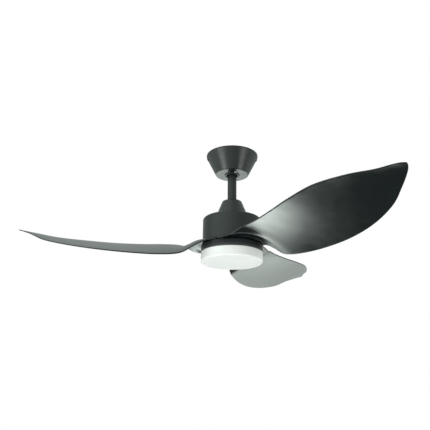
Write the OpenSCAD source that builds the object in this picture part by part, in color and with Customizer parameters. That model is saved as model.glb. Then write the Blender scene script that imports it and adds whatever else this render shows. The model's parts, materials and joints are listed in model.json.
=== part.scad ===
// Ceiling fan with a light: three swept blades on a downrod.
// Millimetres. The origin is on the ceiling, at the middle of the hanger bracket's
// top face, and the fan hangs down along -Z. The view from the front looks along +Y.

/* [Canopy] */
// Gap between the ceiling and the canopy's rim
canopy_gap = 1.5; // [1:0.5:3]
// Depth of the canopy
canopy_depth = 66.5; // [66:0.5:68]
// Radius of the canopy's rim
canopy_rim_r = 83.5; // [83:0.5:88]
// Radius of the canopy's lower face
canopy_base_r = 52; // [52:0.5:56]
// Thickness of the canopy's sheet
canopy_wall = 1.4; // [1:0.1:1.6]

/* [Downrod] */
// Outer radius of the rod, a 1 1/8 inch tube
rod_r = 14.3; // [14.2:0.05:14.3]
// Wall of the rod
rod_wall = 2.3; // [1.8:0.1:2.4]
// Lower end of the rod, below the ceiling
rod_drop = 190; // [188:1:192]

/* [Motor housing] */
// Top of the coupling cover, below the ceiling
cover_drop = 160; // [159:0.5:160]
// Radius of the coupling cover's foot
cover_foot_r = 53; // [51:1:55]
// Top of the housing, below the ceiling
housing_drop = 217.5; // [217:0.5:218]
// Radius of the housing
housing_r = 91; // [90:0.5:91]

/* [Blades] */
// Number of blades
blade_count = 3; // [3:1:3]
// Middle of the blade roots, below the ceiling
blade_drop = 303.5; // [303.5:0.5:304]
// Turn of the first blade about the shaft, in degrees
blade_turn = -61.5; // [-180:0.5:180]
// Thickness of the blade at its root
blade_root_t = 5; // [5:0.1:5.2]
// Thickness of the blade at its tip
blade_tip_t = 2.2; // [2:0.1:3]

/* [Light] */
// Radius of the light pan and the diffuser
light_r = 95.2; // [95:0.1:96]
// Top of the light pan, below the ceiling
pan_drop = 308; // [308:0.1:308.4]
// Height of the light pan
pan_h = 21.5; // [21.5:0.1:22]
// Bottom of the diffuser, below the ceiling
diffuser_drop = 360.5; // [358:0.5:364]

/* [Hidden] */
$fn = 72;
// Small overlap of shapes that are joined or cut
e = 0.5;
// Radial clearance of a rod or screw in its hole
fit = 0.1;

// Canopy and hanger
canopy_top = -canopy_gap;
canopy_floor = canopy_top - canopy_depth;
canopy_slope = (canopy_rim_r - canopy_base_r) / (canopy_depth - 4);
canopy_lean = atan(canopy_slope);
canopy_screw_z = -14;
trim_r = 24.4;
trim_hole_r = 17.8;
trim_h = 3;
trim_flange_r = 32;
trim_flange_low = canopy_floor + canopy_wall;
trim_flange_high = trim_flange_low + 1.2;
trim_screw_ring = 28.4;
trim_screw_turn = -70;
canopy_hole_r = trim_r + 0.2;
ball_z = -42;
ball_r = 30;
liner_in_r = 30.3;
liner_out_r = 33;
socket_r = 33.3;
cup_r = 40;
cup_top = ball_z - 4;
cup_floor = ball_z - 22;
plate_t = 2.5;
plate_w = 44;
leg_x = 44;
plate_half = 60;
mount_hole_x = 52;
mount_hole_r = 3.25;
wire_places = [-13, 0, 13];

// Rod and coupling
rod_top = -16;
rod_end = -rod_drop;
cross_pin_z = ball_z + 12;
clevis_pin_z = rod_end + 11;
pin_r = 3.2;
lead_r = 2.6;
cover_top = -cover_drop;
housing_top = -housing_drop;
yoke_neck_top = rod_end + 25;
yoke_screw_z = rod_end + 19.5;
yoke_flange_top = housing_top + 13;

// Motor
blade_z = -blade_drop;
housing_end = blade_z + 4;
carrier_r = 86;
carrier_low = blade_z + blade_root_t / 2;
carrier_high = carrier_low + 4.5;
shaft_r = 10;
shaft_bore_r = 6.5;
shaft_top = rod_end - 12;
shaft_end = -319.5;
port_z = housing_top - 9;
board_z = housing_top - 15;
standoff_ring = 44;
bell_r = 68;
bell_top = housing_top - 26;
bell_flange_r = 79;
rotor_bolt_ring = 74.5;
race_r = 21;
race_h = 12;
upper_race_low = bell_top - 14;
lower_race_low = carrier_low + 4;
stator_r = 60;
stator_low = -283;
stator_high = -262;
slots = 12;
poles = 14;

// Blades: a ring-shaped root, then sections from the leading edge to the trailing edge
root_r = 93.3;
root_in_r = 64;
root_half = 59.3;
blade_screw_ring = 80;
blade_screw_turns = [-38, 0, 38];
// Each row: leading x, y, z, trailing x, y, z, sweep of the middle, rise of the middle,
// and the power by which the section falls from the leading to the trailing edge
blade_rows = [
    [root_r * cos(root_half), -root_r * sin(root_half), 0,
     root_r * cos(root_half), root_r * sin(root_half), 0, root_r * (1 - cos(root_half)), 0, 2.5],
    [80, -80, -5, 78, 77, -6, 32, 10, 2.6],
    [115, -73, -4, 113, 80, -24, 20, 8, 1.5],
    [155, -57, 9.5, 152, 91, -49, 12, -0.8, 1.6],
    [210, -50, 13, 212, 106, -57.5, 6, 1.2, 1.25],
    [285, -55, 15, 290, 122, -58, 3, 2.4, 1.1],
    [375, -61, 20, 380, 132, -52, 0, 4, 1],
    [465, -56, 26, 468, 128, -39, 0, 4, 1],
    [545, -29, 27, 548, 110, -19, 0, 4, 1],
    [598, 6, 28, 600, 88, 6, 0, 2, 1],
    [631, 23, 30, 634, 68, 21, 0, 1, 1],
    [647, 34, 31, 649, 55, 28, 0, 0, 1],
    [654, 44, 31, 654, 46, 31, 0, 0, 1]
];
row_steps = 2;
chord_steps = 14;

// Light
pan_top = -pan_drop;
pan_wall = 1.6;
pan_low = pan_top - pan_h;
adapter_low = pan_top - 5;
board_low = pan_low + 3.5;
led_post_ring = 70;
spigot_r = 89.5;
tab_turns = [30, 150, 270];

// Places its children at a distance and a turn from the shaft
module polar(r, turn) {
    rotate([0, 0, turn]) translate([r, 0, 0]) children();
}

// A disc between two heights
module disc(r, low, high) {
    translate([0, 0, low]) cylinder(h = high - low, r = r);
}

// A ring between two heights
module ring(out_r, in_r, low, high) {
    difference() {
        disc(out_r, low, high);
        disc(in_r, low - e, high + e);
    }
}

// A round bar along X, from x_low to x_high
module bar_x(r, x_low, x_high) {
    translate([x_low, 0, 0]) rotate([0, 90, 0]) cylinder(h = x_high - x_low, r = r);
}

// A screw whose head's underside is at the origin and whose shank points down
module screw(shank_r, head_r, head_h, len) {
    translate([0, 0, -len]) cylinder(h = len + e, r = shank_r);
    difference() {
        cylinder(h = head_h, r = head_r);
        translate([0, 0, head_h / 2]) cube([head_r * 1.2, head_r * 0.28, head_h + e], center = true);
        translate([0, 0, head_h / 2]) cube([head_r * 0.28, head_r * 1.2, head_h + e], center = true);
    }
}

// A box given by its lowest and highest corners
module block(low, high) {
    translate(low) cube(high - low);
}

// Unit vector, and the middle direction at one point of a path
function unit(v) = v / norm(v);
function path_way(path, i) =
    i == 0 ? unit(path[1] - path[0]) :
    i == len(path) - 1 ? unit(path[i] - path[i - 1]) :
    unit(unit(path[i] - path[i - 1]) + unit(path[i + 1] - path[i]));

// A round lead along a path that stays in the plane x = 0
module lead(path, r, sides = 12) {
    n = len(path);
    rings = [
        for (i = [0 : n - 1], k = [0 : sides - 1])
            let (way = path_way(path, i), across = cross([1, 0, 0], way), a = 360 * k / sides)
                path[i] + r * cos(a) * [1, 0, 0] + r * sin(a) * across
    ];
    walls = [
        for (i = [0 : n - 2], k = [0 : sides - 1])
            let (a = i * sides + k, b = i * sides + (k + 1) % sides)
                each [[a, b, b + sides], [a, b + sides, a + sides]]
    ];
    ends = [
        for (k = [1 : sides - 2])
            each [[0, k + 1, k], [(n - 1) * sides, (n - 1) * sides + k, (n - 1) * sides + k + 1]]
    ];
    polyhedron(points = rings, faces = concat(walls, ends));
}

// ---------- Ceiling mount ----------

// Outer radius of the canopy's cone at a height
function canopy_r(z) = canopy_rim_r - canopy_slope * (canopy_top - 4 - z);

// Places its children on the inside of the canopy's wall, with X along the wall's outward normal
module canopy_screw_place(turn) {
    rotate([0, 0, turn])
        translate([canopy_r(canopy_screw_z) - canopy_wall, 0, canopy_screw_z])
            rotate([0, canopy_lean, 0]) children();
}

module hanger_bracket() {
    ear_x = canopy_r(0) - 6;
    color("silver") difference() {
        union() {
            block([-plate_half, -plate_w / 2, -plate_t], [plate_half, plate_w / 2, 0]);
            block([-ear_x, -5, -plate_t], [ear_x, 5, 0]);
            for (turn = [0, 180])
                canopy_screw_place(turn) block([-2 - plate_t, -6, -7], [-2, 6, 12.2]);
            for (side = [-1, 1])
                translate([side * leg_x, 0, 0])
                    block([-plate_t / 2, -15, cup_floor], [plate_t / 2, 15, -1]);
            block([-leg_x, -15, cup_floor], [leg_x, 15, cup_floor + 4]);
            disc(cup_r, cup_floor, cup_top);
            block([-2, 28, cup_top - 6], [2, 38, cup_top]);
        }
        difference() {
            translate([0, 0, ball_z]) sphere(r = socket_r);
            block([-2, 28, cup_top - 6], [2, 38, cup_top]);
        }
        disc(24, cup_floor - e, ball_z);
        block([-15, -cup_r - e, cup_floor - e], [15, 0, ball_z]);
        for (side = [-1, 1])
            translate([side * mount_hole_x, 0, -plate_t - e])
                cylinder(h = plate_t + 2 * e, r = mount_hole_r);
        for (turn = [0, 180])
            canopy_screw_place(turn) bar_x(2 + fit, -6, 2);
        translate([-30, -14, -plate_t - e]) cylinder(h = plate_t + 2 * e, r = 2 + fit);
    }
}

module canopy() {
    color([0.16, 0.18, 0.17]) difference() {
        rotate_extrude() polygon([
            [canopy_rim_r - canopy_wall, canopy_top],
            [canopy_rim_r, canopy_top],
            [canopy_rim_r, canopy_top - 3],
            [canopy_r(canopy_top - 5.5), canopy_top - 5.5],
            [canopy_r(canopy_floor + 4), canopy_floor + 4],
            [canopy_base_r - 1.5, canopy_floor + 1.6],
            [canopy_base_r - 3.4, canopy_floor + 0.4],
            [canopy_base_r - 5.5, canopy_floor],
            [canopy_hole_r, canopy_floor],
            [canopy_hole_r, canopy_floor + canopy_wall],
            [canopy_base_r - 5.5, canopy_floor + canopy_wall],
            [canopy_base_r - 2.4, canopy_floor + 3.4],
            [canopy_r(canopy_top - 5.5) - canopy_wall, canopy_top - 5.5]
        ]);
        for (turn = [0, 180])
            canopy_screw_place(turn) bar_x(2 + fit, -2, 4);
        for (k = [0, 1])
            polar(trim_screw_ring, trim_screw_turn + 180 * k)
                disc(1.5 + fit, canopy_floor - e, trim_flange_low + e);
    }
}

module canopy_screws() {
    color("dimgray") for (turn = [0, 180])
        canopy_screw_place(turn)
            translate([canopy_wall * cos(canopy_lean) + 0.02, 0, 0])
                rotate([0, 90, 0]) screw(2, 3.6, 1.6, 9);
}

// The ring comes down through the canopy's hole and hangs on its flange
module canopy_trim_ring() {
    low = canopy_floor - trim_h;
    color([0.1, 0.11, 0.11]) difference() {
        rotate_extrude() polygon([
            [trim_hole_r, low + 0.8], [trim_hole_r + 0.8, low], [trim_r - 1.6, low], [trim_r, low + 1.6],
            [trim_r, trim_flange_low], [trim_flange_r, trim_flange_low],
            [trim_flange_r, trim_flange_high], [trim_hole_r, trim_flange_high]
        ]);
        for (k = [0, 1])
            polar(trim_screw_ring, trim_screw_turn + 180 * k)
                disc(1.5 + fit, trim_flange_low - e, trim_flange_high + e);
    }
}

module trim_ring_screws() {
    color("silver") for (k = [0, 1])
        polar(trim_screw_ring, trim_screw_turn + 180 * k)
            translate([0, 0, canopy_floor]) rotate([180, 0, 0]) screw(1.5, 3.6, 1.8, 3.4);
}

module terminal_block() {
    color("ivory") difference() {
        block([-20, -34, -14], [20, -18, -plate_t]);
        for (x = wire_places) {
            translate([x, -26, -14 - e]) cylinder(h = 3.5 + e, r = 2.6);
            translate([x, -29, -6.5]) rotate([90, 0, 0]) cylinder(h = 6, r = 2);
        }
    }
}

module terminal_screws() {
    color("gold") for (x = wire_places)
        translate([x, -26, -13.4]) difference() {
            cylinder(h = 2.9, r = 2.4);
            block([-0.4, -3, -e], [0.4, 3, 0.9]);
        }
}

module earth_screw() {
    color("limegreen") translate([-30, -14, -plate_t])
        rotate([180, 0, 0]) screw(2, 3.8, 2.4, plate_t - 0.1);
}

module receiver() {
    color([0.12, 0.12, 0.12]) difference() {
        union() {
            block([-34, 28, -25], [34, 50, -6]);
            for (side = [-1, 1])
                block([side * 30 - 4, 16, -7], [side * 30 + 4, 34, -plate_t]);
        }
        for (x = wire_places)
            translate([x, 27, -15]) rotate([-90, 0, 0]) cylinder(h = 4, r = 1.8);
    }
}

module supply_jumper() {
    color("saddlebrown") translate([wire_places[2], 0, 0])
        lead([[0, -17.95, -8], [0, -12, -8], [0, 0, -7.6], [0, 14, -8.6], [0, 22, -12], [0, 27.95, -15]], 1.5);
}

// ---------- Ball joint ----------

module socket_liner() {
    color("ivory") difference() {
        translate([0, 0, ball_z]) sphere(r = liner_out_r);
        translate([0, 0, ball_z]) sphere(r = liner_in_r);
        disc(cup_r, cup_top - e, ball_z + cup_r);
        disc(cup_r, ball_z - cup_r, cup_floor + 2);
        block([-16, -cup_r, ball_z - cup_r], [16, 0, ball_z + cup_r]);
        block([-4, 20, cup_floor + 6], [4, cup_r, ball_z + cup_r]);
    }
}

module hanger_ball() {
    color([0.2, 0.21, 0.2]) difference() {
        translate([0, 0, ball_z]) sphere(r = ball_r);
        disc(ball_r + e, ball_z + 22, ball_z + ball_r + e);
        disc(ball_r + e, ball_z - ball_r - e, ball_z - 21);
        disc(rod_r + fit, ball_z - ball_r, ball_z + ball_r);
        block([-4.6, 26, ball_z - ball_r], [4.6, ball_r + e, ball_z + ball_r]);
        translate([0, 0, cross_pin_z]) bar_x(pin_r + fit, -ball_r, ball_r);
        translate([0, 0, ball_z - 10]) rotate([90, 0, 0]) cylinder(h = ball_r, r = 2 + fit);
    }
}

module ball_cross_pin() {
    color("silver") translate([0, 0, cross_pin_z]) bar_x(pin_r, -26, 26);
}

module ball_set_screw() {
    color("dimgray") difference() {
        translate([0, -rod_r - 0.2, ball_z - 10]) rotate([90, 0, 0]) cylinder(h = 10, r = 2);
        translate([0, -rod_r - 7, ball_z - 10]) rotate([90, 0, 0]) cylinder(h = 4, r = 1.1, $fn = 6);
    }
}

// ---------- Rod and coupling ----------

module downrod() {
    color([0.17, 0.19, 0.18]) difference() {
        ring(rod_r, rod_r - rod_wall, rod_end, rod_top);
        for (z = [cross_pin_z, clevis_pin_z])
            translate([0, 0, z]) bar_x(pin_r + fit, -rod_r - e, rod_r + e);
    }
}

// The lead comes down the rod beside its pins, enters the hollow shaft and leaves it by the port
module motor_lead() {
    y = pin_r + lead_r + 0.6;
    color([0.1, 0.1, 0.1]) lead([
        [0, y, rod_top + 5], [0, y, -60], [0, y, -120], [0, y, rod_end + 6], [0, y - 0.8, rod_end],
        [0, 3.6, shaft_top + 4], [0, 3.4, shaft_top - 4], [0, 3.4, port_z + 8], [0, 3.9, port_z + 4],
        [0, 6, port_z + 1], [0, 9, port_z], [0, 13, port_z - 0.3], [0, 17.4, port_z - 0.3]
    ], lead_r);
}

module lead_connector() {
    y = pin_r + lead_r + 0.6;
    color("ivory") difference() {
        block([-5, y - 4, rod_top + 5], [5, y + 4, rod_top + 10.5]);
        for (x = [-2.5, 2.5])
            translate([x, y, rod_top + 8]) cylinder(h = 4, r = 1.2);
    }
}

module coupling_cover() {
    wall = 1.8;
    foot = housing_top;
    neck_r = 30;
    color([0.18, 0.2, 0.19]) difference() {
        rotate_extrude() polygon(concat(
            [[rod_r + 0.4, cover_top - wall], [rod_r + 0.4, cover_top]],
            [for (a = [90 : -18 : 20]) [neck_r - 7 + 7 * cos(a), cover_top - 7 + 7 * sin(a)]],
            [[cover_foot_r, foot], [cover_foot_r - wall, foot], [neck_r - 1.6, cover_top - 6.4],
             [neck_r - 7, cover_top - wall]]
        ));
        translate([0, 0, foot + 7]) rotate([-90, 0, 0]) cylinder(h = cover_foot_r, r = 1.5 + fit);
    }
}

module cover_grub_screw() {
    color("dimgray") difference() {
        translate([0, 38, housing_top + 7]) rotate([-90, 0, 0]) cylinder(h = 10, r = 1.5);
        translate([0, 46, housing_top + 7]) rotate([-90, 0, 0]) cylinder(h = 4, r = 0.8, $fn = 6);
    }
}

module motor_yoke() {
    color("gray") difference() {
        union() {
            disc(21, yoke_flange_top - e, yoke_neck_top);
            disc(38, housing_top, yoke_flange_top);
        }
        disc(rod_r + fit, rod_end - 0.2, yoke_neck_top + e);
        disc(shaft_r, housing_top - e, shaft_top);
        disc(9.2, shaft_top - e, rod_end);
        translate([0, 0, clevis_pin_z]) bar_x(pin_r + fit, -22, 22);
        for (turn = [90, 270])
            rotate([0, 0, turn]) translate([0, 0, yoke_screw_z]) bar_x(2.5 + fit, 10, 22);
        for (k = [0 : 3])
            polar(30, 45 + 90 * k) disc(2 + fit, housing_top - e, yoke_flange_top + e);
    }
}

module clevis_pin() {
    color("silver") translate([0, 0, clevis_pin_z]) difference() {
        union() {
            bar_x(pin_r, -25, 26);
            bar_x(5, -27.5, -24.5);
        }
        translate([23.5, 0, -5]) cylinder(h = 10, r = 0.9);
    }
}

module cotter_pin() {
    color("silver") translate([23.5, 0, clevis_pin_z]) {
        translate([0, 0, -7]) cylinder(h = 14, r = 0.8);
        translate([0, 0, 8.6]) rotate([0, 90, 0]) rotate_extrude() translate([2.2, 0]) circle(r = 0.8);
    }
}

module yoke_set_screws() {
    color("dimgray") for (turn = [90, 270])
        rotate([0, 0, turn]) translate([0, 0, yoke_screw_z]) difference() {
            bar_x(2.5, rod_r + 0.05, 24);
            translate([21, 0, 0]) rotate([0, 90, 0]) cylinder(h = 5, r = 1.4, $fn = 6);
        }
}

// ---------- Motor ----------

module motor_housing() {
    wall = 1.8;
    round_r = 5;
    // The top falls gently from a flat middle to its round corner
    flat_r = 58;
    corner_r = housing_r - round_r;
    corner_z = housing_top - 3.5 - round_r;
    color([0.2, 0.23, 0.22]) difference() {
        rotate_extrude() polygon(concat(
            [[shaft_r + 4, housing_top - 2], [shaft_r + 4, housing_top], [flat_r, housing_top]],
            [for (a = [86 : -14.3 : 0]) [corner_r + round_r * cos(a), corner_z + round_r * sin(a)]],
            [[housing_r, housing_end], [housing_r - wall, housing_end],
             [housing_r - wall, corner_z], [corner_r, corner_z + round_r - 2], [flat_r, housing_top - 2]]
        ));
        for (k = [0 : 3])
            polar(30, 45 + 90 * k) disc(2 + fit, housing_top - 3, housing_top + e);
        for (k = [0 : 3])
            polar(standoff_ring, 90 * k) disc(1.5 + fit, housing_top - 3, housing_top + e);
    }
}

module housing_screws() {
    color("dimgray") for (k = [0 : 3])
        polar(30, 45 + 90 * k) translate([0, 0, yoke_flange_top]) screw(2, 3.6, 2.2, 17);
}

module motor_shaft() {
    color("lightgray") difference() {
        ring(shaft_r, shaft_bore_r, shaft_end, shaft_top);
        translate([0, 0, port_z + 0.6]) rotate([-90, 0, 0]) cylinder(h = shaft_r + e, r = 4);
        translate([0, 0, port_z]) rotate([90, 0, 0]) cylinder(h = shaft_r + e, r = 2.2);
        ring(shaft_r + e, shaft_r - 0.8, upper_race_low - 2.4, upper_race_low - 1);
    }
}

module stator_core() {
    color("darkgray") difference() {
        union() {
            disc(34, stator_low, stator_high);
            for (k = [0 : slots - 1])
                rotate([0, 0, 360 * k / slots]) {
                    block([32, -4, stator_low], [stator_r - 2, 4, stator_high]);
                    intersection() {
                        ring(stator_r, stator_r - 4, stator_low, stator_high);
                        block([40, -12.5, stator_low], [stator_r + 2, 12.5, stator_high]);
                    }
                }
        }
        disc(shaft_r, stator_low - e, stator_high + e);
    }
}

module stator_windings() {
    color("chocolate") for (k = [0 : slots - 1])
        rotate([0, 0, 360 * k / slots]) difference() {
            block([36, -7.6, stator_low - 3.5], [52.5, 7.6, stator_high + 3.5]);
            block([35, -4.1, stator_low - 0.1], [53.5, 4.1, stator_high + 0.1]);
        }
}

module control_board() {
    color("darkgreen") difference() {
        ring(60, 15, board_z, board_z + 1.6);
        for (k = [0 : 3])
            polar(standoff_ring, 90 * k) disc(1.5 + fit, board_z - e, board_z + 2);
    }
    color("white") block([-6, 17.4, board_z + 1.6], [6, 25, port_z + 3]);
}

module board_capacitors() {
    color("navy") {
        for (turn = [200, 222, 244])
            polar(42, turn) disc(5, board_z + 1.6, board_z + 11);
        for (turn = [110, 135])
            polar(44, turn) disc(4, board_z - 7, board_z);
    }
}

module board_standoffs() {
    color("silver") for (k = [0 : 3])
        polar(standoff_ring, 90 * k) {
            disc(3, board_z + 1.6, housing_top - 2);
            disc(1.5, board_z - 1.8, housing_top - 1);
            disc(2.8, board_z - 2, board_z);
        }
}

// Inner and outer races of a bearing share a ball track
module race(out_r, in_r, low) {
    difference() {
        ring(out_r, in_r, low, low + race_h);
        translate([0, 0, low + race_h / 2])
            rotate_extrude() translate([(shaft_r + race_r) / 2, 0]) circle(r = 3.3);
    }
}

module race_balls(low) {
    color("white") for (k = [0 : 7])
        polar((shaft_r + race_r) / 2, 45 * k + 10) translate([0, 0, low + race_h / 2]) sphere(r = 3.2);
}

module upper_inner_race() {
    color("silver") race(shaft_r + 3.4, shaft_r, upper_race_low);
}

module lower_inner_race() {
    color("silver") race(shaft_r + 3.4, shaft_r, lower_race_low);
}

module upper_outer_race() {
    color("gainsboro") race(race_r, race_r - 3.4, upper_race_low);
}

module lower_outer_race() {
    color("gainsboro") race(race_r, race_r - 3.4, lower_race_low);
}

module upper_race_balls() {
    race_balls(upper_race_low);
}

module lower_race_balls() {
    race_balls(lower_race_low);
}

module shaft_circlip() {
    color("dimgray") difference() {
        ring(shaft_r + 2.2, shaft_r - 0.7, upper_race_low - 2.3, upper_race_low - 1.1);
        block([-4, -shaft_r - 4, upper_race_low - 3], [4, 0, upper_race_low]);
    }
}

// ---------- Rotor ----------

module rotor_bell() {
    color("silver") difference() {
        union() {
            disc(bell_r, bell_top - 3, bell_top);
            ring(bell_r, bell_r - 3, carrier_high, bell_top - 2);
            ring(bell_flange_r, bell_r - 2, carrier_high, carrier_high + 3);
            disc(26, bell_top - 14, bell_top - 2);
        }
        disc(race_r, bell_top - 15, bell_top - 2);
        disc(race_r - 4, bell_top - 3, bell_top + e);
        for (k = [0 : 5])
            polar(rotor_bolt_ring, 60 * k) disc(2 + fit, carrier_high - e, carrier_high + 3 + e);
        for (k = [0 : 5])
            polar(46, 60 * k) disc(8, bell_top - 4, bell_top + e);
    }
}

module rotor_magnets() {
    step = 360 / poles;
    color([0.25, 0.25, 0.28]) for (k = [0 : poles - 1])
        rotate([0, 0, step * k]) intersection() {
            ring(bell_r - 3, bell_r - 7, stator_low - 1, stator_high + 1);
            block([50, -13.2, stator_low - 2], [70, 13.2, stator_high + 2]);
        }
}

module blade_carrier() {
    color("silver") difference() {
        union() {
            disc(carrier_r, carrier_low, carrier_high);
            disc(27, carrier_low, lower_race_low + race_h);
        }
        disc(race_r, lower_race_low, lower_race_low + race_h + e);
        disc(race_r - 4, carrier_low - e, lower_race_low + e);
        for (k = [0 : 5])
            polar(rotor_bolt_ring, 60 * k) disc(2 + fit, carrier_low - e, carrier_high + e);
        for (b = [0 : blade_count - 1], turn = blade_screw_turns)
            polar(blade_screw_ring, rotor_turn(b) + turn) disc(2.5 + fit, carrier_low - e, carrier_high + e);
    }
}

module rotor_bolts() {
    color("dimgray") for (k = [0 : 5])
        polar(rotor_bolt_ring, 60 * k) translate([0, 0, carrier_high + 3]) screw(2, 3.4, 2.4, 7.4);
}

// ---------- Blades ----------

function rotor_turn(b) = blade_turn + 360 / blade_count * b;

// Catmull-Rom value between b and c
function smooth(a, b, c, d, t) =
    0.5 * (2 * b + (c - a) * t + (2 * a - 5 * b + 4 * c - d) * t * t + (3 * b - a - 3 * c + d) * t * t * t);

// The blade row at a place s along the span, from 0 at the root to the last row at the tip
function row_at(s) =
    let (last = len(blade_rows) - 1, i = min(floor(s), last - 1), t = s - i)
        smooth(blade_rows[max(i - 1, 0)], blade_rows[i], blade_rows[i + 1], blade_rows[min(i + 2, last)], t);

// Place on a row, from v = 0 at the leading edge to v = 1 at the trailing edge
function row_point(row, v) =
    let (w = 2 * v - 1, bow = (sqrt(1 - pow(w * sin(root_half), 2)) - cos(root_half)) / (1 - cos(root_half)))
        [row[0] + (row[3] - row[0]) * v + row[6] * bow,
         row[1] + (row[4] - row[1]) * v,
         row[2] + (row[5] - row[2]) * pow(v, row[8]) + row[7] * (1 - w * w)];

// Thickness, full over most of the section and rounded off at both edges
function blade_t(s, v) =
    (blade_root_t + (blade_tip_t - blade_root_t) * s / (len(blade_rows) - 1))
    * sqrt(1 - pow(abs(2 * v - 1), 6));

// The inner edge of the root, an arc of the same angle
function inner_row() =
    [root_in_r * cos(root_half), -root_in_r * sin(root_half), 0,
     root_in_r * cos(root_half), root_in_r * sin(root_half), 0, root_in_r * (1 - cos(root_half)), 0, 1];

// Section points round one row: the top from edge to edge, then back along the underside
function section(row, s) =
    let (m = chord_steps)
        [for (k = [0 : 2 * m - 1])
            let (j = k <= m ? k : 2 * m - k, v = 0.5 - 0.5 * cos(180 * j / m), side = k <= m ? 0.5 : -0.5)
                row_point(row, v) + [0, 0, side * blade_t(s, v)]];

module blade() {
    m2 = 2 * chord_steps;
    stations = [for (i = [0 : (len(blade_rows) - 1) * row_steps - 1]) i / row_steps];
    sections = concat([section(inner_row(), 0)], [for (s = stations) section(row_at(s), s)]);
    n = len(sections);
    tip = row_point(blade_rows[len(blade_rows) - 1], 0.5);
    points = concat([for (ring = sections) each ring], [tip]);
    walls = [
        for (i = [0 : n - 2], k = [0 : m2 - 1])
            let (a = i * m2 + k, b = i * m2 + (k + 1) % m2)
                each [[a, b + m2, b], [a, a + m2, b + m2]]
    ];
    root = [
        for (k = [0 : chord_steps - 1])
            let (a = k, b = k + 1, c = (m2 - k - 1) % m2, d = (m2 - k) % m2)
                each (k == 0 ? [[a, b, c]] : k == chord_steps - 1 ? [[a, b, d]] : [[a, b, c], [a, c, d]])
    ];
    end = [for (k = [0 : m2 - 1]) [(n - 1) * m2 + k, n * m2, (n - 1) * m2 + (k + 1) % m2]];
    polyhedron(points = points, faces = concat(walls, root, end));
}

module placed_blade(b) {
    color([0.13, 0.14, 0.14]) rotate([0, 0, rotor_turn(b)]) translate([0, 0, blade_z]) difference() {
        blade();
        for (turn = blade_screw_turns)
            polar(blade_screw_ring, turn) {
                disc(2.5 + fit, -blade_root_t, blade_root_t);
                disc(5, -blade_root_t, 0.4);
            }
    }
}

module blade_screws() {
    color("dimgray") for (b = [0 : blade_count - 1], turn = blade_screw_turns)
        polar(blade_screw_ring, rotor_turn(b) + turn) translate([0, 0, blade_z + 0.4])
            rotate([180, 0, 0]) screw(2.5, 4.8, 2.8, 6.2);
}

// ---------- Light ----------

module light_adapter_plate() {
    color("silver") difference() {
        union() {
            disc(46, adapter_low, pan_top - 2);
            disc(16, adapter_low, pan_top + 4);
        }
        disc(shaft_r, adapter_low - e, pan_top + 4 + e);
        for (k = [0 : 2])
            polar(40, 120 * k) disc(2 + fit, adapter_low - e, pan_top);
    }
}

module shaft_lock_nut() {
    color("silver") difference() {
        translate([0, 0, adapter_low - 5]) cylinder(h = 5, r = 15, $fn = 6);
        disc(shaft_r, adapter_low - 5 - e, adapter_low + e);
    }
}

module light_pan() {
    color([0.12, 0.13, 0.14]) difference() {
        union() {
            rotate_extrude() polygon([
                [30, pan_top - 2], [30, pan_top], [light_r - 1, pan_top], [light_r, pan_top - 1],
                [light_r, pan_low], [light_r - pan_wall, pan_low], [light_r - pan_wall, pan_top - 2]
            ]);
            for (k = [0 : 2])
                polar(led_post_ring, 30 + 120 * k) disc(4, board_low + 1.5, pan_top - 1);
            for (turn = tab_turns)
                rotate([0, 0, turn]) {
                    lug(-11, 8, pan_low + 1.5, pan_low + 3.5);
                    lug(-11, -8, pan_low + 2.5, pan_low + 6);
                }
        }
        for (k = [0 : 2])
            polar(40, 120 * k) disc(2 + fit, pan_top - 3, pan_top + e);
        for (k = [0 : 2])
            polar(led_post_ring, 30 + 120 * k) disc(1.25 + fit, board_low, pan_top - 6);
    }
}

// A lug on the inside of the pan's wall, from one angle to another
module lug(from, to, low, high) {
    translate([0, 0, low]) rotate([0, 0, from]) rotate_extrude(angle = to - from)
        translate([90.3, 0]) square([light_r - pan_wall - 90.3 + e, high - low]);
}

module pan_screws() {
    color("dimgray") for (k = [0 : 2])
        polar(40, 120 * k) translate([0, 0, adapter_low]) rotate([180, 0, 0]) screw(2, 3.6, 2.2, 7);
}

module led_driver() {
    color("white") difference() {
        block([-32, 52, pan_top - 13], [32, 80, pan_top - 2.2]);
        for (x = [-28, 28])
            translate([x, 66, pan_top - 14]) cylinder(h = 3, r = 1.8);
        translate([0, 51, pan_top - 8]) rotate([-90, 0, 0]) cylinder(h = 3, r = 1.5);
    }
}

module light_lead() {
    low = shaft_end - 2.6;
    color("crimson") lead([
        [0, -23, board_z + 2.85], [0, -19, board_z + 3.1], [0, -15, port_z - 1], [0, -11.6, port_z],
        [0, -8, port_z - 0.1], [0, -4.8, port_z - 1.8], [0, -3.4, port_z - 6], [0, -3.2, shaft_end + 3],
        [0, -1.6, shaft_end - 1], [0, 2.4, low], [0, 24, low], [0, 38, low + 1.2],
        [0, 46, pan_top - 8.6], [0, 51.9, pan_top - 8]
    ], 1.3);
}

module led_board() {
    color("whitesmoke") difference() {
        disc(82, board_low, board_low + 1.5);
        for (k = [0 : 2])
            polar(led_post_ring, 30 + 120 * k) disc(1.25 + fit, board_low - e, board_low + 2);
    }
}

module led_chips() {
    rows = [[22, 8], [42, 14], [60, 20]];
    color("khaki") for (row = rows, k = [0 : row[1] - 1])
        rotate([0, 0, 360 * (k + 0.5) / row[1]])
            block([row[0] - 2, -2, board_low - 1], [row[0] + 2, 2, board_low]);
}

module led_board_screws() {
    color("silver") for (k = [0 : 2])
        polar(led_post_ring, 30 + 120 * k)
            translate([0, 0, board_low]) rotate([180, 0, 0]) screw(1.25, 2.8, 1.6, 7);
}

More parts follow.
